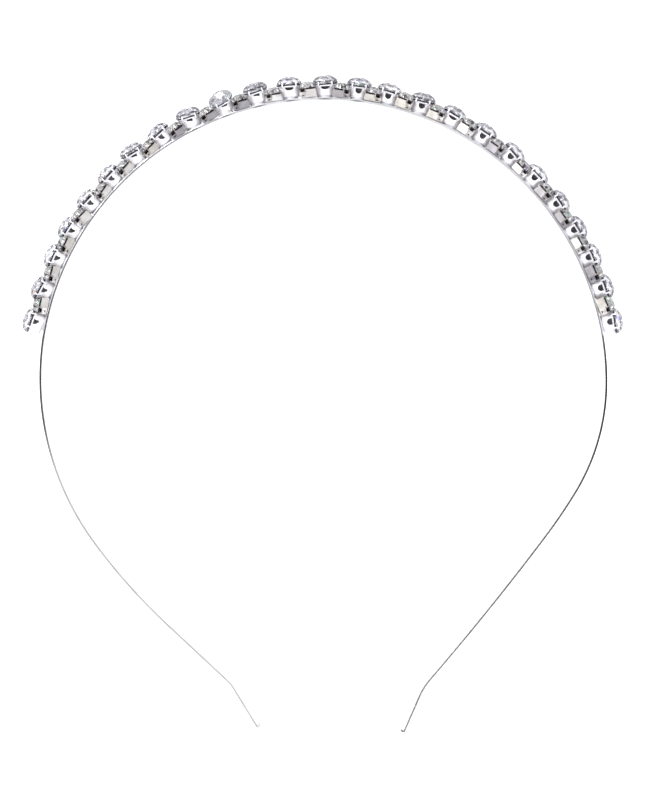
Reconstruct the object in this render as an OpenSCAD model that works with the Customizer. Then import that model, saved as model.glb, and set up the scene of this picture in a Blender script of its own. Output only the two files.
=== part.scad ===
// Crystal headband: a thin springy metal strip bent to an open hoop, with a row of round crystals
// in soldered prong settings over its crown and a small pair of crystals in each gap.
// It lies on its side: X across the head, Y up to the crown's top, Z through the strip's width.

/* [Band] */
// Radius of the crown's inner face
crown_inner_r = 61.2; // [56:0.1:70]
// Thickness of the strip
band_thickness = 0.45; // [0.4:0.05:0.8]
// Width of the strip
band_width = 5; // [4:0.1:6]
// Height of the crown circle's centre above the middle of the whole
crown_centre_y = 4.8; // [0:0.1:10]
// Angle over the horizontal where the left leg leaves the crown circle
left_spring = 31; // [20:0.5:40]
// Angle over the horizontal where the right leg leaves the crown circle
right_spring = 0; // [-5:0.5:5]

/* [Large crystals] */
// Diameter of a large crystal
large_d = 5.6; // [5.2:0.1:5.7]
// Height of its crown over the girdle
large_crown_h = 1.65; // [1.2:0.05:2]
// Height of its girdle over the strip's outer face
large_seat_h = 3; // [2.9:0.05:3.4]
// Outer radius of a large setting's wall
large_cup_r = 2.35; // [2.2:0.05:2.4]

/* [Small crystals] */
// Diameter of a small crystal
small_d = 3.4; // [3:0.1:3.5]
// Height of its crown over the girdle
small_crown_h = 1.35; // [0.9:0.05:1.5]
// Side of a small square setting
small_cup_side = 2.7; // [2.5:0.1:2.8]
// Distance of a small crystal's axis from the strip's middle
pair_offset = 2.75; // [2.7:0.05:2.9]
// Turn of a small setting about its own axis
small_spin = 31.5; // [20:0.5:40]

/* [Hidden] */

// Columns of a leg's table: bend radius, sweep, straight run after it.
// A positive sweep curves on inwards, a negative one turns back out.
left_leg = [
    [60, 67.5, 0],
    [130, 10.5, 18],
    [5, -15.5, 10],
    [0.35, 150, 0.4]
];
right_leg = [
    [46, 31.5, 0],
    [120, 5.5, 0],
    [600, 3.5, 3],
    [15, -17, 8],
    [0.35, 120, 0.3]
];

// Columns of the crystals' table: angle round the crown, lean along it, tip to the front and rise
// of a large crystal, then the lean and the girdle height of the small pair that follows it.
PLACE = 0;
LEAN = 1;
TIP = 2;
RISE = 3;
PAIR_LEAN = 4;
PAIR_HEIGHT = 5;
stones = [
    [168.0, -8, 0, 0, 4, 2.0],
    [161.6, -10, 0, 0, 8, 1.9],
    [155.0, 0, 0, 0, 3, 1.9],
    [148.9, -2, 0, 0, -9, 2.2],
    [142.3, -6, 0, 0, 6, 1.7],
    [136.1, 1, 0, 0, 7, 1.8],
    [129.7, -9, 5, 0.2, 9, 1.7],
    [123.5, 9, 0, 0, 5, 1.7],
    [116.8, -9, 8, 0.15, 9, 1.7],
    [109.9, 11, 20, 0.45, 0, 1.9],
    [103.1, 5, 8, 0.3, 0, 1.7],
    [96.5, -2, 0, 0.2, 4, 2.1],
    [89.6, 5, 4, 0.2, -6, 1.9],
    [83.0, 0, 3, 0.15, -1, 1.8],
    [77.1, -3, 0, 0, -5, 2.2],
    [70.4, 6, 4, 0.15, 0, 2.0],
    [63.8, -4, 0, 0, -4, 2.3],
    [57.0, 0, 0, 0, 0, 2.0],
    [50.1, -9, 0, 0, -2, 1.9],
    [44.0, 0, -4, 0, 0, 2.0],
    [37.3, -3, 0, 0, 0, 1.9],
    [31.2, 0, 0, 0, 0, 2.0],
    [25.1, -2, 0, 0, 1, 2.2],
    [18.7, 0, 0, 0, 7, 2.3],
    [11.8, -3, 0, 0, 0, 0]
];

// Cut of the crystals: table, break line and depth as parts of the radius or the crown's height
sides = 8;
table_part = 0.46;
break_part = 0.87;
break_rise = 0.62;
girdle_h = 0.15;
pavilion_part = 0.6;

// Longest flat, and largest turn between two flats, where the strip is bent
flat_run = 2.7;
flat_turn = 15;

// Settings
wall = 0.3;
foot_r = 1.65;
bowl_r = 2;
bowl_lift = 0.25;
bowl_h = 0.7;
lip_r = 2.6;
lip_h = 0.15;
window_w = 1.25;
window_h = 1;
large_prong = 60;
prong_w = 0.4;
prong_t = 0.25;
seat_gap = 0.07;
claw = 0.45;
prong_rise = 1;
small_foot_r = 1;
foot_inset = 0.1;
small_lift = 0.1;
small_slot_w = 0.35;
small_slot_depth = 0.7;

crown_r = crown_inner_r + band_thickness / 2;
outer_r = crown_inner_r + band_thickness;
small_prong_r = small_d / 2 + seat_gap + prong_t;
small_reach = small_prong_r * sin(45 + small_spin) + prong_w / 2 * cos(45 + small_spin);
mid_z = pair_offset + small_reach;
pair_foot = band_width / 2 - small_foot_r - foot_inset;

function large_name(i) = str("crystal_", i < 9 ? "0" : "", i + 1);

// A state on the centre line is [x, y, heading]; a positive sweep turns it clockwise.
function right_of(heading) = [sin(heading), -cos(heading)];
function turned(s, r, a) =
    let (side = sign(a), c = [s[0], s[1]] + side * r * right_of(s[2]))
    let (p = c - side * r * right_of(s[2] - a))
    [p[0], p[1], s[2] - a];
function ahead(s, run) = [s[0] + run * cos(s[2]), s[1] + run * sin(s[2]), s[2]];
function count(r, a) = max(ceil(r * abs(a) * PI / 180 / flat_run), ceil(abs(a) / flat_turn));
function bend(s, r, a) = [for (k = [1 : count(r, a)]) turned(s, r, a * k / count(r, a))];
function leg_line(s, rows, i = 0) =
    i == len(rows) ? [] :
    let (arc = bend(s, rows[i][0], rows[i][1]))
    let (end = ahead(arc[len(arc) - 1], rows[i][2]))
    concat(arc, rows[i][2] > 0 ? [end] : [], leg_line(end, rows, i + 1));
function on_crown(a) = [crown_r * cos(a), crown_r * sin(a), a - 90];
function flipped(line) =
    [for (i = [len(line) - 1 : -1 : 0]) [-line[i][0], line[i][1], -line[i][2]]];
function beside(s, d) = [s[0], s[1]] - d * right_of(s[2]);

module outline() {
    crown_start = 180 - left_spring;
    crown_arc = crown_start - right_spring;
    crown = concat([on_crown(crown_start)], bend(on_crown(crown_start), crown_r, crown_arc));
    line = concat(
        flipped(leg_line(on_crown(left_spring), left_leg)),
        crown,
        leg_line(on_crown(right_spring), right_leg)
    );
    half = band_thickness / 2;
    last = len(line) - 1;
    polygon(concat(
        [for (s = line) beside(s, half)],
        [for (i = [last : -1 : 0]) beside(line[i], -half)]
    ));
}

module strip() {
    translate([0, crown_centre_y, mid_z - band_width / 2])
        linear_extrude(band_width) outline();
}

// Puts a piece whose axis is +Z on the crown, at a height over the strip's outer face
module seated(place, offset, height, lean, tip) {
    translate([0, crown_centre_y, mid_z])
        rotate([0, 0, place - 90])
            translate([0, outer_r + height, offset])
                rotate([tip, 0, lean])
                    rotate([-90, 0, 0])
                        children();
}

function polar(r, a, h) = [r * cos(a), r * sin(a), h];

module crystal(d, crown_h) {
    r = d / 2;
    half = 180 / sides;
    n = 2 * sides;
    table = [for (i = [0 : sides - 1]) polar(r * table_part, 2 * i * half, crown_h)];
    breaks = [for (i = [0 : sides - 1])
        polar(r * break_part, (2 * i + 1) * half, crown_h * break_rise)];
    upper = [for (i = [0 : n - 1]) polar(r, i * half, 0)];
    lower = [for (p = upper) p - [0, 0, girdle_h]];
    culet = [[0, 0, -girdle_h - r * pavilion_part]];
    b = sides;
    u = b + sides;
    l = u + n;
    polyhedron(
        concat(table, breaks, upper, lower, culet),
        concat(
            [[for (i = [sides - 1 : -1 : 0]) i]],
            [for (i = [0 : sides - 1]) [i, (i + 1) % sides, b + i]],
            [for (i = [0 : sides - 1]) [(i + 1) % sides, u + (2 * i + 2) % n, b + i]],
            [for (i = [0 : sides - 1])
                [(i + 1) % sides, b + (i + 1) % sides, u + (2 * i + 2) % n]],
            [for (i = [0 : sides - 1]) [b + i, u + 2 * i + 1, u + 2 * i]],
            [for (i = [0 : sides - 1]) [b + i, u + (2 * i + 2) % n, u + 2 * i + 1]],
            [for (i = [0 : n - 1]) [u + i, u + (i + 1) % n, l + (i + 1) % n, l + i]],
            [for (i = [0 : n - 1]) [l + i, l + (i + 1) % n, l + n]]
        )
    );
}

// Height just under a crystal's pavilion at a distance from its axis
function seat_z(r, d) = -girdle_h - seat_gap - (d / 2 - r) * pavilion_part;

// A prong rises from the wall, passes the girdle and bends in over the crystal
module prong(from_r, d, crown_h) {
    inner = d / 2 + seat_gap;
    outer = inner + prong_t;
    slope = atan2(crown_h * break_rise, d / 2 * (1 - break_part));
    tip = claw * [-cos(slope), sin(slope)];
    rotate([90, 0, 0])
        translate([0, 0, -prong_w / 2])
            linear_extrude(prong_w)
                polygon([
                    [from_r, -prong_rise],
                    [outer, -prong_rise / 2],
                    [outer, 0],
                    [outer, 0] + tip,
                    [inner, 0] + tip,
                    [inner, 0],
                    [inner, seat_z(inner, d)],
                    [from_r, seat_z(from_r, d)]
                ]);
}

// Both settings are drawn with their crystal's upper girdle at the origin
module large_setting() {
    base = bowl_lift - large_seat_h;
    knuckle = base + bowl_h;
    inner_r = large_cup_r - wall;
    lip_z = seat_z(lip_r, large_d) - lip_h;
    window_z = lip_z - (lip_r - large_cup_r) - window_h + window_w / 2;
    difference() {
        rotate_extrude($fn = 36)
            polygon([
                [0, base],
                [bowl_r, base],
                [large_cup_r, knuckle],
                [large_cup_r, lip_z - (lip_r - large_cup_r)],
                [lip_r, lip_z],
                [lip_r, seat_z(lip_r, large_d)],
                [inner_r, seat_z(inner_r, large_d)],
                [inner_r, knuckle + wall / 2],
                [foot_r, base + wall],
                [0, base + wall]
            ]);
        for (turn = [0, 90])
            rotate([0, 0, turn])
                translate([0, 0, window_z]) {
                    translate([-window_w / 2, -large_d, 0])
                        cube([window_w, 2 * large_d, window_h - window_w / 2]);
                    rotate([90, 0, 0])
                        cylinder(d = window_w, h = 2 * large_d, center = true, $fn = 32);
                }
    }
    for (turn = [large_prong, 180 - large_prong, 180 + large_prong, -large_prong])
        rotate([0, 0, turn])
            prong(large_cup_r - wall / 2, large_d, large_crown_h);
}

module large_foot(rise) {
    translate([0, 0, -band_thickness / 2])
        cylinder(r = foot_r, h = band_thickness / 2 + bowl_lift + rise + wall / 2, $fn = 36);
}

module small_setting(height) {
    side = small_cup_side;
    base = small_lift - height;
    inner = side - 2 * wall;
    rim = seat_z(inner / 2, small_d);
    difference() {
        translate([-side / 2, -side / 2, base])
            cube([side, side, rim - base]);
        translate([-inner / 2, -inner / 2, base + wall])
            cube([inner, inner, height]);
        translate([-small_d, -small_slot_w / 2, rim - small_slot_depth])
            cube([2 * small_d, small_slot_w, height]);
    }
    for (turn = [45 : 90 : 315])
        rotate([0, 0, turn])
            prong((side - wall) / sqrt(2), small_d, small_crown_h);
}

module small_foot() {
    translate([0, 0, -band_thickness / 2])
        cylinder(r = small_foot_r, h = band_thickness / 2 + 2 * small_lift, $fn = 36);
}

function pair_place(i) = (stones[i][PLACE] + stones[i + 1][PLACE]) / 2;
function spin(place) = place > 90 ? small_spin : -small_spin;

module pair(i, front) {
    row = front ? 1 : -1;
    seated(pair_place(i), row * pair_offset, stones[i][PAIR_HEIGHT], stones[i][PAIR_LEAN], 0)
        rotate([0, 0, row * spin(pair_place(i))])
            children();
}

module large(i) {
    s = stones[i];
    seated(s[PLACE], 0, large_seat_h + s[RISE], s[LEAN], s[TIP]) children();
}

module band() {
    color("silver") {
        strip();
        for (i = [0 : len(stones) - 1]) {
            large(i) large_setting();
            seated(stones[i][PLACE], 0, 0, 0, 0) large_foot(stones[i][RISE]);
        }
        for (i = [0 : len(stones) - 2], front = [true, false]) {
            pair(i, front) small_setting(stones[i][PAIR_HEIGHT]);
            seated(pair_place(i), (front ? 1 : -1) * pair_foot, 0, 0, 0) small_foot();
        }
    }
}

module small_crystals(front) {
    color("white")
        for (i = [0 : len(stones) - 2])
            pair(i, front) crystal(small_d, small_crown_h);
}

module large_crystal(i) {
    color("white") large(i) crystal(large_d, large_crown_h);
}

band();
small_crystals(true);  // small_crystals_front
small_crystals(false);  // small_crystals_back
for (i = [0 : len(stones) - 1])
    large_crystal(i);
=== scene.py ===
import bpy, bmesh, math
from mathutils import Matrix, Vector


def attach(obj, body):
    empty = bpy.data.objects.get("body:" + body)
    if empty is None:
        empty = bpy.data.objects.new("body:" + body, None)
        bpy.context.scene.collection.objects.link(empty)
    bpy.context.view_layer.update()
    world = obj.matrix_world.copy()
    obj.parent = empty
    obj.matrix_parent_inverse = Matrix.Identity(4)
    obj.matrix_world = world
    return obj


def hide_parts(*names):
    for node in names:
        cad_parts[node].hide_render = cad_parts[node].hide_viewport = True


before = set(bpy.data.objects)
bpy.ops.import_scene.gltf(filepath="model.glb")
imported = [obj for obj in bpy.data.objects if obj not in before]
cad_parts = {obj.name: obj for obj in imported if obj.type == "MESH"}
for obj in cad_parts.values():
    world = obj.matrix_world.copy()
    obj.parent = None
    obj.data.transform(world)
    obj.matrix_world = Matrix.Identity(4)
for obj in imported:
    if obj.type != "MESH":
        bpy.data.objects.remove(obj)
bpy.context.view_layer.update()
mm = 0.001
print("frame loaded:", len(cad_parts), "nodes")

# Sizes are in mm and angles in degrees. A spring is the angle over the circle's level at which a
# leg leaves it. A leg's columns are bend radius, sweep and straight run, and a negative sweep
# turns back out. A piece of a bend is no longer than step and turns by no more than turn.
strip = {
    "innerRadius": 61.2,
    "thickness": 0.45,
    "width": 5.0,
    "centreY": 4.8,
    "leftSpring": 31,
    "rightSpring": 0,
    "leftLeg": [(60, 67.5, 0), (130, 10.5, 18), (5, -15.5, 10), (0.35, 150, 0.4)],
    "rightLeg": [(46, 31.5, 0), (120, 5.5, 0), (600, 3.5, 3), (15, -17, 8), (0.35, 120, 0.3)],
    "edgeRound": 0.12,
    "edgeSteps": 4,
    "step": 0.9,
    "turn": 8,
}

# Columns: angle round the crown, lean along it, tip to the front and rise of a large crystal,
# then lean and height of the small pair after it.
stones = [
    (168.0, -8, 0, 0, 4, 2.0), (161.6, -10, 0, 0, 8, 1.9), (155.0, 0, 0, 0, 3, 1.9),
    (148.9, -2, 0, 0, -9, 2.2), (142.3, -6, 0, 0, 6, 1.7), (136.1, 1, 0, 0, 7, 1.8),
    (129.7, -9, 5, 0.2, 9, 1.7), (123.5, 9, 0, 0, 5, 1.7), (116.8, -9, 8, 0.15, 9, 1.7),
    (109.9, 11, 20, 0.45, 0, 1.9), (103.1, 5, 8, 0.3, 0, 1.7), (96.5, -2, 0, 0.2, 4, 2.1),
    (89.6, 5, 4, 0.2, -6, 1.9), (83.0, 0, 3, 0.15, -1, 1.8), (77.1, -3, 0, 0, -5, 2.2),
    (70.4, 6, 4, 0.15, 0, 2.0), (63.8, -4, 0, 0, -4, 2.3), (57.0, 0, 0, 0, 0, 2.0),
    (50.1, -9, 0, 0, -2, 1.9), (44.0, 0, -4, 0, 0, 2.0), (37.3, -3, 0, 0, 0, 1.9),
    (31.2, 0, 0, 0, 0, 2.0), (25.1, -2, 0, 0, 1, 2.2), (18.7, 0, 0, 0, 7, 2.3),
    (11.8, -3, 0, 0, 0, 0),
]
stoneAngles = [row[0] for row in stones]
stoneRises = [row[3] for row in stones]

# Large crystals sit in round cups, and small ones in pairs of square cups turned by spin. The
# band of foil round a crystal's back is bright at a tone of 0 and nearly black at 1; the small
# crystals' nearly black band is painted shade in their cups.
large = {"diameter": 5.6, "crown": 1.65, "seat": 3.0, "prongWidth": 0.34, "prongTurn": 60, "bandTone": 0.0}
small = {"diameter": 3.4, "crown": 1.35, "offset": 2.75, "spin": 31.5, "prongWidth": 0.26, "bandTone": 1.0}
prong = {
    "solidWidth": 0.4,
    "thickness": 0.25,
    "gap": 0.07,
    "rise": 1.0,
    "stem": [(0, 1, 0.8), (0.5, 0.75, 1), (1, 0.45, 1), (1, 0.02, 1)],  # part out, part down, width
    "claw": 0.45,
    "clawTaper": [(0.35, 1.0), (0.7, 0.95), (0.92, 0.75), (1.0, 0.35)],  # part of the claw, width
    "sides": 10,
    "squareness": 0.7,
    "thinnest": 0.6,
}

# The lowest prongs of the back row touch the floor, which sets the height of the strip's middle.
outerRadius = strip["innerRadius"] + strip["thickness"]
reach = small["diameter"] / 2 + prong["gap"] + prong["thickness"]
corner = math.radians(45 + small["spin"])
middleZ = small["offset"] + reach * math.sin(corner) + prong["solidWidth"] / 2 * math.cos(corner)


# Places on the strip

def rightOf(heading):
    return math.sin(math.radians(heading)), -math.cos(math.radians(heading))


def turned(state, radius, angle):
    side = math.copysign(1, angle)
    x, y, heading = state
    a, b = rightOf(heading), rightOf(heading - angle)
    return x + side * radius * (a[0] - b[0]), y + side * radius * (a[1] - b[1]), heading - angle


def bend(state, radius, angle):
    steps = max(math.ceil(radius * math.radians(abs(angle)) / strip["step"]),
                math.ceil(abs(angle) / strip["turn"]))
    return [turned(state, radius, angle * k / steps) for k in range(1, steps + 1)]


def straight(state, run):
    x, y, heading = state
    ahead = math.cos(math.radians(heading)), math.sin(math.radians(heading))
    steps = math.ceil(run / strip["step"])
    lengths = [run * k / steps for k in range(1, steps + 1)]
    return [(x + d * ahead[0], y + d * ahead[1], heading) for d in lengths]


def legPath(start, rows):
    path = []
    for radius, sweep, run in rows:
        path += bend(path[-1] if path else start, radius, sweep)
        path += straight(path[-1], run)
    return path


def onCrown(angle):
    r = strip["innerRadius"] + strip["thickness"] / 2
    return r * math.cos(math.radians(angle)), r * math.sin(math.radians(angle)), angle - 90


def stripPath():
    left = [(-x, y, -h) for x, y, h in reversed(legPath(onCrown(strip["leftSpring"]), strip["leftLeg"]))]
    start = 180 - strip["leftSpring"]
    crown = [onCrown(start)] + bend(onCrown(start), strip["innerRadius"] + strip["thickness"] / 2,
                                    start - strip["rightSpring"])
    return left + crown + legPath(onCrown(strip["rightSpring"]), strip["rightLeg"])


def turnOf(angle, axis):
    return Matrix.Rotation(math.radians(angle), 4, axis)


# A piece whose axis is +Z, put on the crown at a height over the strip's outer face
def seated(angle, offset, height, lean=0, tip=0, spin=0):
    return (Matrix.Translation(Vector((0, strip["centreY"], middleZ)) * mm) @ turnOf(angle - 90, "Z")
            @ Matrix.Translation(Vector((0, outerRadius + height, offset)) * mm)
            @ turnOf(lean, "Z") @ turnOf(tip, "X") @ turnOf(-90, "X") @ turnOf(spin, "Z"))


largePlaces = [seated(angle, 0, large["seat"] + rise, lean, tip)
               for angle, lean, tip, rise, pairLean, pairHeight in stones]

# The front row is 1 and the back row is -1. Each place goes with its cup's height.
pairPlaces = {1: [], -1: []}
for (angle, lean, tip, rise, pairLean, pairHeight), after in zip(stones, stoneAngles[1:]):
    middle = (angle + after) / 2
    for row in pairPlaces:
        spin = row * (small["spin"] if middle > 90 else -small["spin"])
        place = seated(middle, row * small["offset"], pairHeight, pairLean, 0, spin)
        pairPlaces[row].append((place, pairHeight))
allPairs = pairPlaces[1] + pairPlaces[-1]


# Small tools

def addMesh(name, bm):
    mesh = bpy.data.meshes.new(name)
    bm.to_mesh(mesh)
    bm.free()
    obj = bpy.data.objects.new(name, mesh)
    bpy.context.scene.collection.objects.link(obj)
    return obj


# The evaluated result as a plain mesh, in place of the object that carried the modifiers
def plain(obj, name):
    bpy.context.view_layer.update()
    mesh = bpy.data.meshes.new_from_object(obj.evaluated_get(bpy.context.evaluated_depsgraph_get()))
    mesh.name = name
    bpy.data.objects.remove(obj)
    result = bpy.data.objects.new(name, mesh)
    bpy.context.scene.collection.objects.link(result)
    return result


def merge(name, objects):
    with bpy.context.temp_override(active_object=objects[0], selected_editable_objects=objects):
        bpy.ops.object.join()
    objects[0].name = objects[0].data.name = name
    return objects[0]


# A ring of points round Z, or the one point where it closes
def ringAt(bm, radius, height, count, shift=0):
    if radius == 0:
        return [bm.verts.new((0, 0, height * mm))]
    angles = [2 * math.pi * (k + shift) / count for k in range(count)]
    return [bm.verts.new((radius * mm * math.cos(a), radius * mm * math.sin(a), height * mm)) for a in angles]


def bridge(bm, a, b):
    made = []
    count = max(len(a), len(b))
    for k in range(count):
        n = (k + 1) % count
        corners = (a[k % len(a)], a[n % len(a)], b[n % len(b)], b[k % len(b)])
        made.append(bm.faces.new(list(dict.fromkeys(corners))))
    return made


def newTree(name, sockets):
    tree = bpy.data.node_groups.new(name, "GeometryNodeTree")
    tree.is_modifier = True
    tree.interface.new_socket("Geometry", in_out="INPUT", socket_type="NodeSocketGeometry")
    tree.interface.new_socket("Geometry", in_out="OUTPUT", socket_type="NodeSocketGeometry")
    for label, kind in sockets:
        tree.interface.new_socket(label, in_out="INPUT", socket_type="NodeSocket" + kind)
    return tree


def add(tree, kind, x, y, **values):
    node = tree.nodes.new(kind)
    node.location = (x, y)
    for key, value in values.items():
        setattr(node, key, value)
    return node


def join(tree, a, b):
    tree.links.new(a, b)


# The socket in use, where a node has one of the same name for each kind of value
def inUse(sockets, name):
    return [s for s in sockets if s.name == name and s.enabled][0]


def dress(obj, tree, values):
    change = obj.modifiers.new(tree.name, "NODES")
    change.node_group = tree
    for item in tree.interface.items_tree:
        if item.item_type == "SOCKET" and item.in_out == "INPUT" and item.name in values:
            change[item.identifier] = values[item.name]


# Keeps a random tone for each piece or face, from 0 to 1
def keepTone(tree, geometry, seed, name, domain, x):
    pick = add(tree, "FunctionNodeRandomValue", x - 200, -260, data_type="FLOAT")
    keep = add(tree, "GeometryNodeStoreNamedAttribute", x, 0, data_type="FLOAT", domain=domain)
    keep.inputs["Name"].default_value = name
    join(tree, geometry, keep.inputs["Geometry"])
    join(tree, seed, pick.inputs["Seed"])
    join(tree, inUse(pick.outputs, "Value"), inUse(keep.inputs, "Value"))
    return keep.outputs["Geometry"]


def paintWith(tree, geometry, finish, x):
    paint = add(tree, "GeometryNodeSetMaterial", x, 0)
    join(tree, geometry, paint.inputs["Geometry"])
    join(tree, finish, paint.inputs["Material"])
    return paint


# Lays a piece on every point, turned as the point says
def makeLayout():
    tree = newTree("piecesOnPoints", [("Piece", "Object"), ("Finish", "Material"),
                                      ("Back Finish", "Material"), ("Seed", "Int")])
    start = add(tree, "NodeGroupInput", -900, 0)
    info = add(tree, "GeometryNodeObjectInfo", -700, -160, transform_space="ORIGINAL")
    info.inputs["As Instance"].default_value = True
    turn = add(tree, "GeometryNodeInputNamedAttribute", -900, -260, data_type="FLOAT_VECTOR")
    turn.inputs["Name"].default_value = "turn"
    euler = add(tree, "FunctionNodeEulerToRotation", -700, -320)
    lay = add(tree, "GeometryNodeInstanceOnPoints", -480, 0)
    realise = add(tree, "GeometryNodeRealizeInstances", -60, 0)
    back = add(tree, "GeometryNodeInputNamedAttribute", 340, -200, data_type="BOOLEAN")
    back.inputs["Name"].default_value = "foiled"
    end = add(tree, "NodeGroupOutput", 740, 0)
    seed = start.outputs["Seed"]
    join(tree, start.outputs["Geometry"], lay.inputs["Points"])
    join(tree, start.outputs["Piece"], info.inputs["Object"])
    join(tree, info.outputs["Geometry"], lay.inputs["Instance"])
    join(tree, turn.outputs["Attribute"], euler.inputs["Euler"])
    join(tree, euler.outputs["Rotation"], lay.inputs["Rotation"])
    join(tree, keepTone(tree, lay.outputs["Instances"], seed, "pieceTone", "INSTANCE", -260),
         realise.inputs["Geometry"])
    toned = keepTone(tree, realise.outputs["Geometry"], seed, "faceTone", "FACE", 140)
    front = paintWith(tree, toned, start.outputs["Finish"], 340)
    whole = paintWith(tree, front.outputs["Geometry"], start.outputs["Back Finish"], 540)
    join(tree, inUse(back.outputs, "Attribute"), whole.inputs["Selection"])
    join(tree, whole.outputs["Geometry"], end.inputs["Geometry"])
    return tree


layout = makeLayout()


def layOut(name, piece, places, finish, seed, backFinish=None):
    mesh = bpy.data.meshes.new(name)
    mesh.from_pydata([p.translation for p in places], [], [])
    turns = mesh.attributes.new("turn", "FLOAT_VECTOR", "POINT")
    for slot, p in zip(turns.data, places):
        slot.vector = p.to_euler("XYZ")
    obj = bpy.data.objects.new(name, mesh)
    bpy.context.scene.collection.objects.link(obj)
    dress(obj, layout, {"Piece": piece, "Finish": finish, "Back Finish": backFinish or finish, "Seed": seed})
    made = plain(obj, name)
    bpy.data.objects.remove(piece)
    return made


# Materials

def newMaterial(name):
    material = bpy.data.materials.new(name)
    material.use_nodes = True
    material.node_tree.nodes.clear()
    tree = material.node_tree
    shader = add(tree, "ShaderNodeBsdfPrincipled", 300, 0)
    end = add(tree, "ShaderNodeOutputMaterial", 600, 0)
    join(tree, shader.outputs["BSDF"], end.inputs["Surface"])
    return material, tree, shader


def ramp(tree, x, y, stops, source, interpolation="LINEAR"):
    node = add(tree, "ShaderNodeValToRGB", x, y)
    node.color_ramp.interpolation = interpolation
    elements = node.color_ramp.elements
    while len(elements) < len(stops):
        elements.new(0.5)
    for element, (place, colour) in zip(elements, stops):
        element.position = place
        element.color = (*colour, 1)
    join(tree, source, node.inputs["Fac"])
    return node.outputs["Color"]


# Carries a value that runs from 0 to 1 over to another range
def spread(tree, x, y, source, low, high):
    node = add(tree, "ShaderNodeMapRange", x, y)
    node.inputs["To Min"].default_value = low
    node.inputs["To Max"].default_value = high
    join(tree, source, node.inputs["Value"])
    return node


def attribute(tree, name, x, y):
    return add(tree, "ShaderNodeAttribute", x, y, attribute_name=name).outputs["Fac"]


def mixColour(tree, x, y, blend="MIX"):
    node = add(tree, "ShaderNodeMix", x, y, data_type="RGBA", blend_type=blend)
    return node.inputs[0], node.inputs[6], node.inputs[7], node.outputs[2]


def multiplied(tree, x, y, first, second):
    fac, a, b, out = mixColour(tree, x, y, "MULTIPLY")
    fac.default_value = 1
    join(tree, first, a)
    join(tree, second, b)
    return out


# Fine wear shared by every metal: patches of tone, hairline scratches and a rough grain
surface = {
    "patchDetail": 3,
    "scratchDetail": 4,
    "scratchBending": 2,
    "scratchesInGrain": 0.6,
    "grainDepth": 0.02,
    "darkAt": 0.3,
    "lightAt": 0.62,
    "insideMetallic": 0.1,
}


def makeWear():
    group = bpy.data.node_groups.new("metalWear", "ShaderNodeTree")
    for label in ("Patch Scale", "Scratch Scale"):
        group.interface.new_socket(label, in_out="INPUT", socket_type="NodeSocketFloat")
    for label in ("Patches", "Scratches", "Height"):
        group.interface.new_socket(label, in_out="OUTPUT", socket_type="NodeSocketFloat")
    start = add(group, "NodeGroupInput", -700, 0)
    end = add(group, "NodeGroupOutput", 400, 0)
    where = add(group, "ShaderNodeTexCoord", -700, -250)
    patch = add(group, "ShaderNodeTexNoise", -400, 150)
    patch.inputs["Detail"].default_value = surface["patchDetail"]
    scratch = add(group, "ShaderNodeTexNoise", -400, -150)
    scratch.inputs["Detail"].default_value = surface["scratchDetail"]
    scratch.inputs["Distortion"].default_value = surface["scratchBending"]
    both = add(group, "ShaderNodeMath", 0, -200, operation="MULTIPLY_ADD")
    both.inputs[1].default_value = surface["scratchesInGrain"]
    join(group, where.outputs["Object"], patch.inputs["Vector"])
    join(group, where.outputs["Object"], scratch.inputs["Vector"])
    join(group, start.outputs["Patch Scale"], patch.inputs["Scale"])
    join(group, start.outputs["Scratch Scale"], scratch.inputs["Scale"])
    join(group, scratch.outputs["Fac"], both.inputs[0])
    join(group, patch.outputs["Fac"], both.inputs[2])
    join(group, patch.outputs["Fac"], end.inputs["Patches"])
    join(group, scratch.outputs["Fac"], end.inputs["Scratches"])
    join(group, both.outputs[0], end.inputs["Height"])
    return group


wear = makeWear()

# The inner faces of cups have a tone of their own, a painted shade for the cup's hollow. A tint
# darkens the metal by an attribute: the strip by the painted shade and reflections of its edge, and
# small cups by a tone for each cup, since most are bright and some are tarnished to beige or grey.
metals = {
    "stripSteel": {
        "light": (0.90, 0.90, 0.92), "dark": (0.74, 0.74, 0.76),
        "metallic": 1.0, "roughness": (0.16, 0.34), "patchScale": 260, "scratchScale": 4000, "bump": 0.25,
        # The strip's tint is painted shade and reflections on its edges
        "tint": ("edgeShade", [(0.0, (1, 1, 1)), (1.0, (0.05, 0.05, 0.05))]),
    },
    "platedSilver": {
        "light": (0.93, 0.92, 0.96), "dark": (0.82, 0.81, 0.85), "inside": (0.72, 0.72, 0.74),
        "metallic": 0.3, "roughness": (0.25, 0.42), "patchScale": 900, "scratchScale": 6000, "bump": 0.25,
    },
    "warmSilver": {
        "light": (0.94, 0.93, 0.93), "dark": (0.72, 0.70, 0.69), "inside": (0.03, 0.025, 0.025),
        "metallic": 0.8, "roughness": (0.22, 0.4), "patchScale": 600, "scratchScale": 6000, "bump": 0.3,
        "tint": ("pieceTone", [(0.0, (0.45, 0.45, 0.52)), (0.25, (0.6, 0.56, 0.5)),
                               (0.5, (0.9, 0.88, 0.84)), (1.0, (1.0, 1.0, 1.0))]),
    },
    # A dark brownish metal for the small prongs
    "agedProng": {
        "light": (0.40, 0.36, 0.34), "dark": (0.2, 0.16, 0.15),
        "metallic": 1.0, "roughness": (0.2, 0.35), "patchScale": 1100, "scratchScale": 6000, "bump": 0.3,
    },
}


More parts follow.
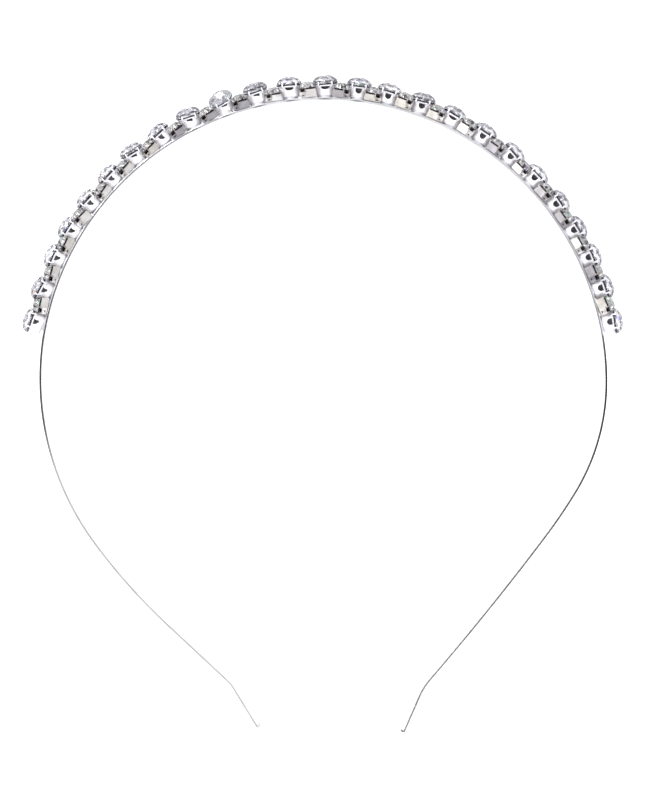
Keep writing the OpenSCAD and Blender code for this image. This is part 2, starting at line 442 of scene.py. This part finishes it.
def finishMetal(name):
    values = metals[name]
    material, tree, shader = newMaterial(name)
    grime = add(tree, "ShaderNodeGroup", -900, 0, node_tree=wear)
    grime.inputs["Patch Scale"].default_value = values["patchScale"]
    grime.inputs["Scratch Scale"].default_value = values["scratchScale"]
    stops = [(surface["darkAt"], values["dark"]), (surface["lightAt"], values["light"])]
    colour = ramp(tree, -600, 200, stops, grime.outputs["Patches"])
    # Marked inner faces of cups take painted shade: their own darker colour, and less metallic
    if "inside" in values:
        within = attribute(tree, "inside", -600, 450)
        fac, outer, inner, mixed = mixColour(tree, -250, 200)
        join(tree, within, fac)
        join(tree, colour, outer)
        inner.default_value = (*values["inside"], 1)
        colour = mixed
        sheen = spread(tree, -250, 450, within, values["metallic"], surface["insideMetallic"])
        join(tree, sheen.outputs["Result"], shader.inputs["Metallic"])
    else:
        shader.inputs["Metallic"].default_value = values["metallic"]
    if "tint" in values:
        mark, tintStops = values["tint"]
        tint = ramp(tree, -250, 500, tintStops, attribute(tree, mark, -500, 600))
        colour = multiplied(tree, 0, 500, colour, tint)
    join(tree, colour, shader.inputs["Base Color"])
    rough = spread(tree, -250, -100, grime.outputs["Scratches"], *values["roughness"])
    join(tree, rough.outputs["Result"], shader.inputs["Roughness"])
    dent = add(tree, "ShaderNodeBump", 50, -300)
    dent.inputs["Strength"].default_value = values["bump"]
    dent.inputs["Distance"].default_value = surface["grainDepth"] * mm
    join(tree, grime.outputs["Height"], dent.inputs["Height"])
    join(tree, dent.outputs["Normal"], shader.inputs["Normal"])
    return material


# Painted reflections, dark, grey and bright, and a few coloured painted glints go by each facet's own random
# tone.
glass = {
    "largeCrystal": {
        "bending": 1.42, "clearness": 1.0, "roughness": 0.01,
        "tones": [(0.0, (0.14, 0.14, 0.16)), (0.14, (0.36, 0.35, 0.4)), (0.22, (0.82, 0.81, 0.87)),
                  (0.6, (0.95, 0.95, 0.98))],
    },
    "smallCrystal": {
        "bending": 1.55, "clearness": 0.8, "roughness": 0.01,
        "tones": [(0.0, (0.03, 0.03, 0.03)), (0.16, (0.14, 0.13, 0.13)), (0.22, (0.93, 0.92, 0.95)),
                  (0.6, (1.0, 1.0, 1.0))],
    },
}
paintedGlints = [(0.0, (1, 1, 1)), (0.972, (0.55, 0.5, 1.0)), (0.982, (0.4, 1.0, 0.65)), (0.99, (1.0, 0.7, 0.5))]


def finishCrystal(name):
    material, tree, shader = newMaterial(name)
    facet = attribute(tree, "faceTone", -900, 0)
    tones = ramp(tree, -600, 200, glass[name]["tones"], facet)
    # A few facets take a coloured painted glint
    paintedFire = ramp(tree, -600, -100, paintedGlints, facet, "CONSTANT")
    join(tree, multiplied(tree, -250, 200, tones, paintedFire), shader.inputs["Base Color"])
    shader.inputs["Transmission Weight"].default_value = glass[name]["clearness"]
    shader.inputs["Roughness"].default_value = glass[name]["roughness"]
    shader.inputs["IOR"].default_value = glass[name]["bending"]
    return material


# The foil is a mirror from inside the crystal. Outside it is lacquered, from bright at an "under"
# of 0 to nearly black at 1. The dark lacquer is partly the foil's own back and partly painted shade:
# the nearly black rim is a painted shadow of the gap at the girdle.
foil = {
    "mirror": [(0.0, (0.30, 0.30, 0.32)), (0.15, (0.75, 0.75, 0.78)), (0.5, (0.97, 0.97, 0.99))],
    "lacquer": [(0.0, (0.95, 0.95, 0.97)), (0.6, (0.5, 0.5, 0.52)), (1.0, (0.02, 0.02, 0.025))],
    "roughness": 0.26,
}


def finishFoil():
    material, tree, shader = newMaterial("foilBack")
    mirror = ramp(tree, -600, 200, foil["mirror"], attribute(tree, "faceTone", -900, 200))
    lacquer = ramp(tree, -600, -100, foil["lacquer"], attribute(tree, "under", -900, -100))
    fac, a, b, out = mixColour(tree, -250, 200)
    join(tree, add(tree, "ShaderNodeNewGeometry", -600, 450).outputs["Backfacing"], fac)
    join(tree, lacquer, a)
    join(tree, mirror, b)
    join(tree, out, shader.inputs["Base Color"])
    shader.inputs["Metallic"].default_value = 1.0
    shader.inputs["Roughness"].default_value = foil["roughness"]
    return material


stripSteel, platedSilver, warmSilver, agedProng = [finishMetal(name) for name in metals]
largeCrystal, smallCrystal = [finishCrystal(name) for name in glass]
foilBack = finishFoil()
print("materials made")


# Strip: a rounded profile swept along the bent path

def makeSweep():
    tree = newTree("sweptStrip", [("Profile", "Object"), ("Finish", "Material")])
    start = add(tree, "NodeGroupInput", -600, 0)
    profile = add(tree, "GeometryNodeObjectInfo", -400, -200, transform_space="ORIGINAL")
    sweep = add(tree, "GeometryNodeCurveToMesh", -160, 0)
    sweep.inputs["Fill Caps"].default_value = True
    smooth = add(tree, "GeometryNodeSetShadeSmooth", 60, 0)
    end = add(tree, "NodeGroupOutput", 460, 0)
    join(tree, start.outputs["Geometry"], sweep.inputs["Curve"])
    join(tree, start.outputs["Profile"], profile.inputs["Object"])
    join(tree, profile.outputs["Geometry"], sweep.inputs["Profile Curve"])
    join(tree, sweep.outputs["Mesh"], smooth.inputs["Geometry"])
    paint = paintWith(tree, smooth.outputs["Geometry"], start.outputs["Finish"], 260)
    join(tree, paint.outputs["Geometry"], end.inputs["Geometry"])
    return tree


def polyCurve(name, points, closed):
    curve = bpy.data.curves.new(name, "CURVE")
    curve.dimensions = "3D"
    curve.twist_mode = "Z_UP"
    spline = curve.splines.new("POLY")
    spline.points.add(len(points) - 1)
    spline.points.foreach_set("co", [v * mm for p in points for v in (*p, 0, 1 / mm)])
    spline.use_cyclic_u = closed
    obj = bpy.data.objects.new(name, curve)
    bpy.context.scene.collection.objects.link(obj)
    return obj


def stripProfile():
    w, t, r = strip["width"] / 2, strip["thickness"] / 2, strip["edgeRound"]
    side = [(t, w - 2 * r)]
    for k in range(strip["edgeSteps"] + 1):
        a = math.pi / 2 * k / strip["edgeSteps"]
        side.append((t - r + r * math.cos(a), w - r + r * math.sin(a)))
    half = side + [(0, w)] + [(-x, y) for x, y in reversed(side)]
    return half + [(-x, -y) for x, y in half]


path = polyCurve("stripPath", [(x, y) for x, y, h in stripPath()], False)
profile = polyCurve("stripProfile", stripProfile(), True)
dress(path, makeSweep(), {"Profile": profile, "Finish": stripSteel})
headStrip = plain(path, "head_strip")
bpy.data.objects.remove(profile)
headStrip.data.transform(Matrix.Translation(Vector((0, strip["centreY"], middleZ)) * mm))


# Painted shade and reflections on the strip's narrow edges: down each leg by height, and round the
# crown by angle. Round the crown the inner part of the edge takes the painted shade. The wide faces
# have one even painted shade.
paintedEdgeShades = {
    "leftLeg": [(-70, 0.2), (-15, 0.35), (-4, 0.9), (7, 0.95), (18, 0.9)],
    "rightLeg": [(-70, 0.7), (-25, 0.9), (-8, 0.98), (8, 0.98), (18, 0.8)],
    "crown": [(10, 0.75), (60, 0.2), (100, 0.1), (120, 0.75), (150, 1.0)],
    "crownMargin": 2,
    "outerPart": 0.05,
    "inwardFrom": 0.35,
    "inwardOver": 0.3,
    "wideFaces": 0.3,
    "edgeSlack": 0.01,
}
paintedFootShades = {"from": 82, "to": 118, "reach": 1.6, "shade": 1.0}


def toneAt(rows, at):
    for (a, toneA), (b, toneB) in zip(rows, rows[1:]):
        if at <= b:
            return toneA + (toneB - toneA) * max(0, at - a) / (b - a)
    return rows[-1][1]


# Painted dark reflections and shade lie on the edge under some of the cups
def paintedFootShade(angle):
    near = min(abs(angle - a) for a in stoneAngles if paintedFootShades["from"] < a < paintedFootShades["to"])
    return paintedFootShades["shade"] * max(0, 1 - (near / paintedFootShades["reach"]) ** 2)


def edgeShade(c):
    angle = math.degrees(math.atan2(c.y - strip["centreY"], c.x))
    margin, outer = paintedEdgeShades["crownMargin"], paintedEdgeShades["outerPart"]
    if angle < stoneAngles[-1] - margin or angle > stoneAngles[0] + margin:
        amount = toneAt(paintedEdgeShades["leftLeg" if c.x < 0 else "rightLeg"], c.y)
    else:
        amount = max(toneAt(paintedEdgeShades["crown"], angle), paintedFootShade(angle))
        inward = (outerRadius - math.hypot(c.x, c.y - strip["centreY"])) / strip["thickness"]
        part = (inward - paintedEdgeShades["inwardFrom"]) / paintedEdgeShades["inwardOver"]
        amount *= outer + (1 - outer) * min(1, max(0, part))
    onEdge = abs(c.z - middleZ) > strip["width"] / 2 - strip["edgeRound"] - paintedEdgeShades["edgeSlack"]
    return amount if onEdge else paintedEdgeShades["wideFaces"]


# Each point of the strip keeps its amount of painted shade
shade = headStrip.data.attributes.new("edgeShade", "FLOAT", "POINT")
for vertex in headStrip.data.vertices:
    shade.data[vertex.index].value = edgeShade(vertex.co / mm)
print("strip", len(headStrip.data.polygons), "faces")


# Crystals: a domed brilliant cut over a foiled point. The table, star, shoulder and bands are
# parts of the radius, and a rise is a part of the crown. The pavilion is the slope of the back.
cut = {
    "facets": 8,
    "table": 0.46,
    "star": 0.86,
    "starRise": 0.64,
    "shoulder": 0.95,
    "shoulderRise": 0.36,
    "girdle": 0.15,
    "pavilion": 0.6,
    "bandOuter": 0.95,
    "bandInner": 0.72,
    # The rim's nearly black lacquer is a painted shadow at the girdle
    "rimShadowTone": 1.0,
    "pointTone": 0.6,
}


def cutStone(name, size):
    r, h, count = size["diameter"] / 2, size["crown"], cut["facets"]
    bm = bmesh.new()
    table = ringAt(bm, r * cut["table"], h, count)
    star = ringAt(bm, r * cut["star"], h * cut["starRise"], count, 0.5)
    shoulder = ringAt(bm, r * cut["shoulder"], h * cut["shoulderRise"], count)
    rings = [ringAt(bm, r, 0, 2 * count)]
    for part in (1, cut["bandOuter"], cut["bandInner"], 0):
        depth = cut["girdle"] + r * (1 - part) * cut["pavilion"]
        rings.append(ringAt(bm, r * part, -depth, 2 * count))
    girdle = rings[0]
    bm.faces.new(table)
    for k in range(count):
        n, left, mid, right = (k + 1) % count, 2 * k, 2 * k + 1, (2 * k + 2) % (2 * count)
        bm.faces.new((table[k], star[k], table[n]))
        bm.faces.new((table[n], star[k], shoulder[n]))
        bm.faces.new((table[n], shoulder[n], star[n]))
        bm.faces.new((star[k], shoulder[k], girdle[mid]))
        bm.faces.new((star[k], girdle[mid], shoulder[n]))
        bm.faces.new((shoulder[k], girdle[left], girdle[mid]))
        bm.faces.new((shoulder[n], girdle[mid], girdle[right]))
    foiled = bm.faces.layers.bool.new("foiled")
    under = bm.faces.layers.float.new("under")
    tones = (cut["rimShadowTone"], cut["rimShadowTone"], size["bandTone"], cut["pointTone"])
    for k in range(2 * count):
        n = (k + 1) % (2 * count)
        for a, b, tone in zip(rings, rings[1:], tones):
            corners = (a[k], b[k % len(b)], b[n % len(b)], a[n])
            face = bm.faces.new(list(dict.fromkeys(corners)))
            face[foiled] = True
            face[under] = tone
    bmesh.ops.recalc_face_normals(bm, faces=bm.faces)
    return addMesh(name, bm)


def stonesOf(name, size, places, finish, seed):
    return layOut(name, cutStone(name + "Cut", size), places, finish, seed, foilBack)


def squared(value):
    return math.copysign(abs(value) ** prong["squareness"], value)


# A prong: a rounded bar that leans out of the wall, passes the girdle and closes over the crystal
def prongParts(bm, size, wallRadius, turn):
    r = size["diameter"] / 2
    mid = r + prong["gap"] + prong["thickness"] / 2
    slope = math.atan2(size["crown"] * cut["starRise"], r * (1 - cut["star"]))
    spine = [(wallRadius + (mid - wallRadius) * out, -prong["rise"] * down, width)
             for out, down, width in prong["stem"]]
    spine += [(mid - math.cos(slope) * prong["claw"] * part, math.sin(slope) * prong["claw"] * part, width)
              for part, width in prong["clawTaper"]]
    rings = []
    for i, (x, z, width) in enumerate(spine):
        a, b = spine[max(i - 1, 0)], spine[min(i + 1, len(spine) - 1)]
        along = Vector((b[0] - a[0], 0, b[1] - a[1])).normalized()
        out = along.cross(Vector((0, 1, 0))).normalized()
        ring = []
        for k in range(prong["sides"]):
            t = 2 * math.pi * k / prong["sides"]
            across = squared(math.cos(t)) * size["prongWidth"] / 2 * width
            thick = squared(math.sin(t)) * prong["thickness"] / 2 * max(width, prong["thinnest"])
            p = Vector((x, across, z)) + out * thick
            ring.append(bm.verts.new(turnOf(turn, "Z") @ (p * mm)))
        rings.append(ring)
    made = [bm.faces.new(rings[0]), bm.faces.new(list(reversed(rings[-1])))]
    for a, b in zip(rings, rings[1:]):
        made += bridge(bm, a, b)
    bmesh.ops.recalc_face_normals(bm, faces=made)
    return made


def prongsOf(name, size, wallRadius, turns):
    bm = bmesh.new()
    for turn in turns:
        for face in prongParts(bm, size, wallRadius, turn):
            face.smooth = True
    return addMesh(name, bm)


# Cups are cut with openings, and their edges are then softened. The edges' angle is the least
# turn between two faces that is softened.
softEdge = {"width": 0.05, "segments": 2, "angle": 38}


def carve(obj, cutters):
    for cutter in cutters:
        change = obj.modifiers.new("slot", "BOOLEAN")
        change.object = cutter
        change.operation = "DIFFERENCE"
        change.solver = "EXACT"
    edges = obj.modifiers.new("softEdges", "BEVEL")
    edges.width = softEdge["width"] * mm
    edges.segments = softEdge["segments"]
    edges.limit_method = "ANGLE"
    edges.angle_limit = math.radians(softEdge["angle"])
    edges.harden_normals = True
    made = plain(obj, obj.name)
    for cutter in cutters:
        bpy.data.objects.remove(cutter)
    return made


def block(name, size, centre):
    bm = bmesh.new()
    bmesh.ops.create_cube(bm, size=1, matrix=Matrix.Translation(Vector(centre) * mm)
                          @ Matrix.Diagonal((*[v * mm for v in size], 1)))
    return addMesh(name, bm)


def opening(name, outline, turn, far):
    bm = bmesh.new()
    face = bm.faces.new([bm.verts.new(turnOf(turn, "Z") @ (Vector((x, -far, z)) * mm)) for x, z in outline])
    made = bmesh.ops.extrude_face_region(bm, geom=[face])
    push = turnOf(turn, "Z") @ (Vector((0, 2 * far, 0)) * mm)
    bmesh.ops.translate(bm, verts=[v for v in made["geom"] if isinstance(v, bmesh.types.BMVert)], vec=push)
    bmesh.ops.recalc_face_normals(bm, faces=bm.faces)
    return addMesh(name, bm)


# Faces over the cup's floor and well inside its wall are marked: they take a dull or dark painted shade.
inside = {"rise": 0.1, "wallPart": 0.7, "facing": 0.2}


def markInside(obj, test):
    mesh = obj.data
    mark = mesh.attributes.new("inside", "FLOAT", "FACE")
    for polygon in mesh.polygons:
        mark.data[polygon.index].value = 1.0 if test(polygon.center / mm, polygon.normal) else 0.0


# Large cups stand on feet. The solder spreads round a foot and sinks a little into the strip.
largeCup = {
    "radius": 2.35,
    "wall": 0.3,
    "lift": 0.25,
    "clear": 0.02,
    "bowlRadius": 2.0,
    "bowl": 0.7,
    "bowlSteps": 6,
    "bowlCut": 0.04,
    "bowlStart": 0.05,
    "innerStart": 0.1,
    "lipRadius": 2.6,
    "lipHeight": 0.15,
    "around": 48,
}
largeFeet = {"radius": 1.65, "solderSpread": 0.3, "solderSink": 0.05, "solderTop": (0.1, 0.08), "around": 36}

# Windows in a large cup's wall, as points across and up, and the angles of the cups that have each
# kind. Other cups have the tailed one on the left side and the round one on the right side.
largeWindows = {
    "round": [(-0.7, -0.6), (-0.7, -1.12), (-0.62, -1.38), (-0.42, -1.62), (-0.15, -1.76), (0.15, -1.76),
              (0.42, -1.62), (0.62, -1.38), (0.7, -1.12), (0.7, -0.6)],
    "tailed": [(-0.65, -0.6), (-0.6, -1.05), (-0.45, -1.35), (-0.05, -1.65), (0.25, -2.1), (0.4, -2.35),
               (0.65, -2.3), (0.65, -2.1), (0.5, -1.6), (0.35, -1.25), (0.5, -0.6)],
    "shallow": [(-0.65, -0.6), (-0.65, -0.95), (0.1, -1.1), (0.55, -1.25), (0.65, -1.1), (0.65, -0.6)],
    "wide": [(-0.95, -0.6), (-0.9, -0.95), (-0.6, -1.2), (0.0, -1.3), (0.6, -1.2), (0.9, -0.95),
             (0.95, -0.6)],
}
windowPlaces = {"shallow": (129.7, 116.8, 109.9, 103.1), "wide": (96.5, 89.6, 63.8)}
tailedFrom = 112


def windowKind(angle):
    for kind, angles in windowPlaces.items():
        if angle in angles:
            return kind
    return "tailed" if angle > tailedFrom else "round"


# How high the cup's seat lies at a distance from its axis, just under the crystal's back
def seatAt(radius):
    return -cut["girdle"] - prong["gap"] - (large["diameter"] / 2 - radius) * cut["pavilion"]


# The cup's section from its underside up the outer wall, over the seat and down to its floor
def largeOutline(base):
    r, wall, bowl = largeCup["radius"], largeCup["wall"], largeCup["bowlRadius"]
    bottom = base + largeCup["clear"]
    points = [(0, bottom), (bowl - largeCup["bowlCut"], bottom)]
    for k in range(1, largeCup["bowlSteps"] + 1):
        t = math.pi / 2 * k / largeCup["bowlSteps"]
        points.append((bowl + (r - bowl) * math.sin(t),
                       base + largeCup["bowlStart"] + largeCup["bowl"] * (1 - math.cos(t))))
    lip = largeCup["lipRadius"]
    under = seatAt(lip) - largeCup["lipHeight"]
    points += [(r, under - (lip - r)), (lip, under), (lip, seatAt(lip)), (r - wall, seatAt(r - wall))]
    return points + [(r - wall, base + largeCup["bowl"] + largeCup["innerStart"]),
                     (largeFeet["radius"], base + wall), (0, base + wall)]


def largeSetting(kind):
    base = largeCup["lift"] - large["seat"]
    bm = bmesh.new()
    rings = [ringAt(bm, x, z, largeCup["around"]) for x, z in largeOutline(base)]
    for a, b in zip(rings, rings[1:]):
        bridge(bm, a, b)
    bmesh.ops.recalc_face_normals(bm, faces=bm.faces)
    for face in bm.faces:
        face.smooth = True
    cup = carve(addMesh("largeCup", bm),
                [opening("window", largeWindows[kind], turn, large["diameter"]) for turn in (0, 90)])
    within = largeCup["radius"] - largeCup["wall"] * inside["wallPart"]
    markInside(cup, lambda c, n: c.z > base + inside["rise"] and math.hypot(c.x, c.y) < within
               and n.x * c.x + n.y * c.y < inside["facing"])
    return cup


# The foot under a large cup stands square on the strip, also where its cup is tipped
def largeFoot(rise):
    r, lift = largeFeet["radius"], largeCup["lift"]
    ease, easeHeight = largeFeet["solderTop"]
    outline = [(r + largeFeet["solderSpread"], -largeFeet["solderSink"]), (r + ease, easeHeight),
               (r, lift), (r, lift + rise + largeCup["wall"] / 2)]
    bm = bmesh.new()
    rings = [ringAt(bm, x, z, largeFeet["around"]) for x, z in outline]
    bm.faces.new(list(reversed(rings[0])))
    bm.faces.new(rings[-1])
    for a, b in zip(rings, rings[1:]):
        for face in bridge(bm, a, b):
            face.smooth = True
    bmesh.ops.recalc_face_normals(bm, faces=bm.faces)
    foot = addMesh("largeFoot", bm)
    markInside(foot, lambda c, n: False)
    return foot


# A small cup is a square box with an opening through two walls: a wide gap at the top, a narrow
# stem below it and a short bar at the foot, like the letter I.
smallCup = {
    "side": 2.7,
    "wall": 0.3,
    "lift": 0.1,
    "rim": 0.33,
    "gapDepth": 0.45,
    "gapWidth": 1.9,
    "stemWidth": 0.14,
    "barWidth": 0.9,
    "barRise": 0.3,
    "barHeight": 0.22,
    "overRim": 1,
    "hollowHeight": 4,
}


def smallSetting(height):
    side, wall, rim, tall = smallCup["side"], smallCup["wall"], -smallCup["rim"], smallCup["hollowHeight"]
    base = smallCup["lift"] - height
    inner = side - 2 * wall
    cup = block("smallCup", (side, side, rim - base), (0, 0, (rim + base) / 2))
    hollow = block("hollow", (inner, inner, tall), (0, 0, base + wall + tall / 2))
    gap, stem, bar = [smallCup[part] / 2 for part in ("gapWidth", "stemWidth", "barWidth")]
    gapFloor = rim - smallCup["gapDepth"]
    barFloor = base + smallCup["barRise"]
    barTop = barFloor + smallCup["barHeight"]
    half = [(bar, barFloor), (bar, barTop), (stem, barTop), (stem, gapFloor), (gap, gapFloor),
            (gap, smallCup["overRim"])]
    outline = [(-x, z) for x, z in reversed(half)] + half
    cup = carve(cup, [hollow, opening("opening", outline, 90, side)])
    within = side / 2 - wall * inside["wallPart"]
    markInside(cup, lambda c, n: c.z > base + inside["rise"] and max(abs(c.x), abs(c.y)) < within)
    return cup


# Seeds of the pieces' and facets' random tones. Each large crystal adds its own number to the last.
seeds = {"largeCups": 3, "largeFeet": 4, "largeProngs": 5, "smallCups": 7, "smallProngs": 9,
         "frontRow": 11, "backRow": 13, "largeStones": 20}

cups = []
for kind in largeWindows:
    places = [place for place, angle in zip(largePlaces, stoneAngles) if windowKind(angle) == kind]
    cups.append(layOut(kind + "Cups", largeSetting(kind), places, platedSilver, seeds["largeCups"]))
for rise in sorted(set(stoneRises)):
    places = [seated(angle, 0, 0) for angle, r in zip(stoneAngles, stoneRises) if r == rise]
    cups.append(layOut(f"feet{rise}", largeFoot(rise), places, platedSilver, seeds["largeFeet"]))
largeCups = merge("large_settings", cups)
turns = [half + side * large["prongTurn"] for half in (0, 180) for side in (1, -1)]
piece = prongsOf("largeProngs", large, largeCup["radius"] - largeCup["wall"] / 2, turns)
largeProngs = layOut("large_prongs", piece, largePlaces, platedSilver, seeds["largeProngs"])
print("large settings", len(largeCups.data.polygons), "faces")

cups = []
for height in sorted({h for place, h in allPairs}):
    places = [place for place, h in allPairs if h == height]
    cups.append(layOut(f"smallCups{height}", smallSetting(height), places, warmSilver, seeds["smallCups"]))
smallCups = merge("small_settings", cups)
cornerRadius = (smallCup["side"] - smallCup["wall"]) / math.sqrt(2)
piece = prongsOf("smallProngs", small, cornerRadius, (45, 135, 225, 315))
smallProngs = layOut("small_prongs", piece, [place for place, h in allPairs], agedProng, seeds["smallProngs"])
print("small settings", len(smallCups.data.polygons), "faces")

frontPlaces, backPlaces = [[place for place, h in pairPlaces[row]] for row in (1, -1)]
frontStones = stonesOf("small_stones_front", small, frontPlaces, smallCrystal, seeds["frontRow"])
backStones = stonesOf("small_stones_back", small, backPlaces, smallCrystal, seeds["backRow"])
largeStones = [stonesOf(f"large_stone_{i + 1:02d}", large, [place], largeCrystal, seeds["largeStones"] + i)
               for i, place in enumerate(largePlaces)]
print("crystals made")

for obj in (headStrip, largeCups, largeProngs, smallCups, smallProngs):
    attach(obj, "root")
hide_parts("band")
crystals = [(frontStones, "small_crystals_front"), (backStones, "small_crystals_back")]
crystals += [(obj, f"crystal_{i + 1:02d}") for i, obj in enumerate(largeStones)]
for obj, node in crystals:
    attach(obj, "root")
    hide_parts(node)

# Floor, room, lights and camera. The floor, the lights and how far the lens sees are in metres.
# The metal mirrors a duller sheet than shows through the crystals, and the room is darker past the
# crown than past the legs.
studio = {
    "floorSize": 4.0,
    "floorTones": [(0.3, (0.86, 0.86, 0.87)), (0.7, (0.90, 0.90, 0.91))],
    "grain": 400,
    "floorRoughness": 0.8,
    "floorGlow": 0.45,
    "floorMirrored": 0.1,
    "roomTones": [(0.0, (0.6, 0.6, 0.61)), (0.5, (0.66, 0.66, 0.67)), (0.58, (0.8, 0.8, 0.82)),
                  (0.68, (1.0, 1.0, 1.02))],
    "roomPastLegs": 1.2,
    "roomPastCrown": 0.6,
    "keyLight": {"place": (-0.5, 0.6, 0.9), "size": 0.5, "power": 9, "colour": (1.0, 0.99, 0.97)},
    "fillLight": {"place": (0.7, -0.3, 0.8), "size": 0.4, "power": 5, "colour": (0.95, 0.97, 1.0)},
    "cameraAt": (-0.09, 0.13),
    "cameraHeight": 2000.0,
    "frameHeight": 175.0,
    "sensorWidth": 36,
    "sight": (0.1, 20),
}

bm = bmesh.new()
bmesh.ops.create_grid(bm, x_segments=1, y_segments=1, size=studio["floorSize"] / 2)
floor = addMesh("floor", bm)
paper, tree, shader = newMaterial("palePaper")
grain = add(tree, "ShaderNodeTexNoise", -500, 0)
grain.inputs["Scale"].default_value = studio["grain"]
join(tree, ramp(tree, -250, 0, studio["floorTones"], grain.outputs["Fac"]), shader.inputs["Base Color"])
shader.inputs["Roughness"].default_value = studio["floorRoughness"]
shader.inputs["Emission Color"].default_value = (1, 1, 1, 1)
mirrored = add(tree, "ShaderNodeLightPath", -250, -300).outputs["Is Reflection Ray"]
glow = spread(tree, 0, -300, mirrored, studio["floorGlow"], studio["floorMirrored"])
join(tree, glow.outputs["Result"], shader.inputs["Emission Strength"])
floor.data.materials.append(paper)

# The room's tones go from straight down at 0, over level at 0.5, to straight up at 1. The lens
# sees plain white.
world = bpy.data.worlds.new("studio")
bpy.context.scene.world = world
world.use_nodes = True
tree = world.node_tree
tree.nodes.clear()
where = add(tree, "ShaderNodeTexCoord", -1000, 0)
split = add(tree, "ShaderNodeSeparateXYZ", -800, 0)
tilt = spread(tree, -650, 0, split.outputs["Z"], 0, 1)
tilt.inputs["From Min"].default_value = -1
dusk = spread(tree, -650, -300, split.outputs["Y"], studio["roomPastLegs"], studio["roomPastCrown"])
dusk.inputs["From Min"].default_value = -1
room = add(tree, "ShaderNodeBackground", -200, 0)
seen = add(tree, "ShaderNodeBackground", -200, -150)
seen.inputs["Color"].default_value = (1, 1, 1, 1)
rayPath = add(tree, "ShaderNodeLightPath", -200, 250)
pick = add(tree, "ShaderNodeMixShader", 50, 0)
end = add(tree, "ShaderNodeOutputWorld", 250, 0)
join(tree, where.outputs["Generated"], split.inputs[0])
join(tree, ramp(tree, -500, 0, studio["roomTones"], tilt.outputs["Result"]), room.inputs["Color"])
join(tree, dusk.outputs["Result"], room.inputs["Strength"])
join(tree, rayPath.outputs["Is Camera Ray"], pick.inputs[0])
join(tree, room.outputs[0], pick.inputs[1])
join(tree, seen.outputs[0], pick.inputs[2])
join(tree, pick.outputs[0], end.inputs[0])


def softbox(name):
    values = studio[name]
    lamp = bpy.data.lights.new(name, "AREA")
    lamp.shape = "RECTANGLE"
    lamp.size = lamp.size_y = values["size"]
    lamp.energy = values["power"]
    lamp.color = values["colour"]
    obj = bpy.data.objects.new(name, lamp)
    obj.location = values["place"]
    obj.rotation_euler = (-Vector(values["place"])).to_track_quat("-Z", "Y").to_euler()
    obj.visible_camera = False
    bpy.context.scene.collection.objects.link(obj)


softbox("keyLight")
softbox("fillLight")

lens = bpy.data.cameras.new("camera")
lens.sensor_width = studio["sensorWidth"]
lens.lens = lens.sensor_width * studio["cameraHeight"] / studio["frameHeight"]
lens.clip_start, lens.clip_end = studio["sight"]
camera = bpy.data.objects.new("camera", lens)
camera.location = [v * mm for v in (*studio["cameraAt"], middleZ + studio["cameraHeight"])]
bpy.context.scene.collection.objects.link(camera)
bpy.context.scene.camera = camera
bpy.context.scene.view_settings.view_transform = "Standard"
print("stage set")
